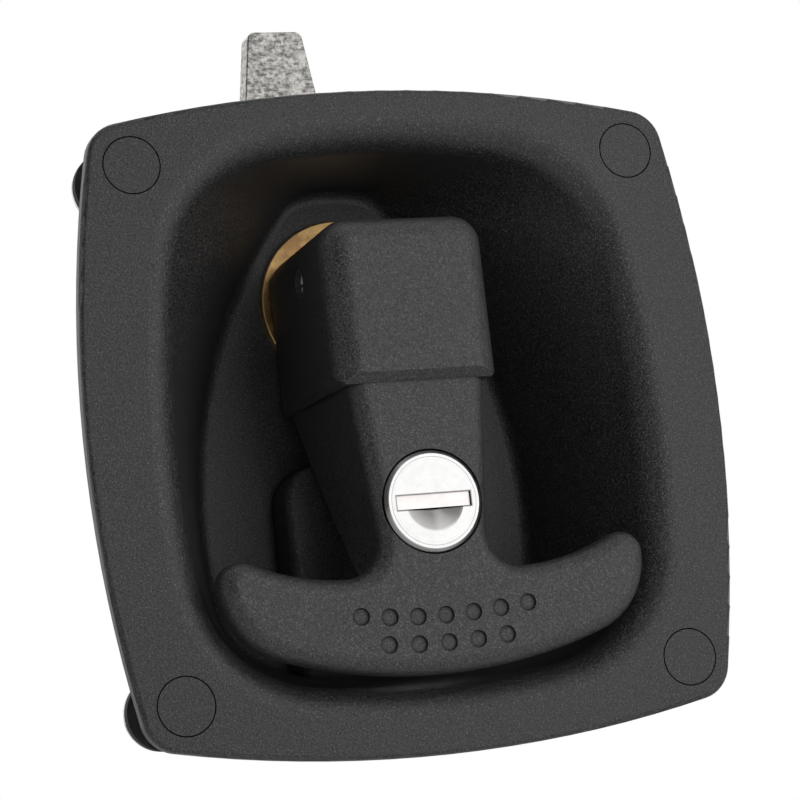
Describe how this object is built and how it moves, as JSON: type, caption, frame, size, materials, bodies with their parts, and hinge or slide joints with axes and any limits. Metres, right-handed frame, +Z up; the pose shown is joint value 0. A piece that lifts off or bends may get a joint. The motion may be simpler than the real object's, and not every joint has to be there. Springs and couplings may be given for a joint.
{
  "type": "t-handle latch",
  "caption": "Recessed folding T-handle latch: square cast dish with flush fixing studs, a whale-tail handle with a key lock in its stem, and a rear cam on a turning spindle.",
  "frame": {"origin": "centre of the fixing studs' square pattern, on the flange's rear face", "axes": "+X to the right seen from the front, +Y into the panel along the studs and the spindle, +Z up towards the spindle and the cam"},
  "size_m": [0.127, 0.081, 0.1565],
  "materials": {
    "pan_coat": "fine-textured black powder coat",
    "handle_coat": "fine-textured black powder coat",
    "stud_zinc": "zinc plated, heads coated with the flange",
    "seal_rubber": "matt moulded",
    "washer_zinc": "zinc plated",
    "nut_zinc": "zinc plated",
    "bush_bronze": "sintered bronze",
    "ring_rubber": "matt",
    "wear_gold": "yellow passivated",
    "spindle_steel": "turned, zinc plated",
    "thrust_steel": "zinc plated",
    "stop_steel": "pressed, zinc plated",
    "spring_steel": "pressed spring steel",
    "cam_zinc": "pressed, bright zinc plated and scuffed",
    "lock_washer_steel": "zinc plated",
    "cam_nut_zinc": "zinc plated",
    "pin_steel": "rolled spring steel",
    "lock_chrome": "bright chrome plated",
    "ring_nut_zinc": "zinc plated",
    "plug_chrome": "bright chrome plated",
    "wafer_brass": "stamped",
    "shutter_steel": "bright stainless",
    "wire_steel": "drawn wire",
    "finger_zinc": "pressed, zinc plated",
    "screw_zinc": "zinc plated"
  },
  "bodies": {
    "housing": {"pan": "pan_coat", "mounting_studs": "stud_zinc", "rubber_washers": "seal_rubber", "steel_washers": "washer_zinc", "stud_nuts": "nut_zinc", "spindle_bush": "bush_bronze", "spindle_seal": "ring_rubber", "wear_washer": "wear_gold"},
    "spindle_group": {"spindle": "spindle_steel", "thrust_washer": "thrust_steel", "stop_plate": "stop_steel", "spindle_spring": "spring_steel", "cam": "cam_zinc", "lock_washer": "lock_washer_steel", "cam_nut": "cam_nut_zinc"},
    "handle_group": {"handle": "handle_coat", "pivot_pin": "pin_steel", "lock_body": "lock_chrome", "lock_nut": "ring_nut_zinc"},
    "plug_group": {"key_plug": "plug_chrome", "wafers": "wafer_brass", "shutter_wire": "wire_steel", "locking_finger": "finger_zinc", "finger_screw": "screw_zinc"},
    "shutter_group": {"dust_shutter": "shutter_steel"}
  },
  "joints": [
    {"name": "spindle_turn", "type": "hinge", "parent": "housing", "child": "spindle_group", "pos_m": [0, 0, 0.0289], "axis": [0, -1, 0], "range_deg": [0, 90]},
    {"name": "handle_lift", "type": "hinge", "parent": "spindle_group", "child": "handle_group", "pos_m": [0, 0.0102, 0.0289], "axis": [-1, 0, 0], "range_deg": [0, 90]},
    {"name": "lock_turn", "type": "hinge", "parent": "handle_group", "child": "plug_group", "pos_m": [0, 0, -0.0168], "axis": [0, 1, 0], "range_deg": [0, 90]},
    {"name": "shutter_swing", "type": "hinge", "parent": "plug_group", "child": "shutter_group", "pos_m": [0, -0.0061, -0.01483], "axis": [1, 0, 0], "range_deg": [0, 75], "stiffness_Nm_per_rad": 0.0005, "springref_deg": -17.19}
  ],
  "couplings": [
    {"joint": "handle_lift", "follows": "spindle_turn", "ratio": 1}
  ]
}
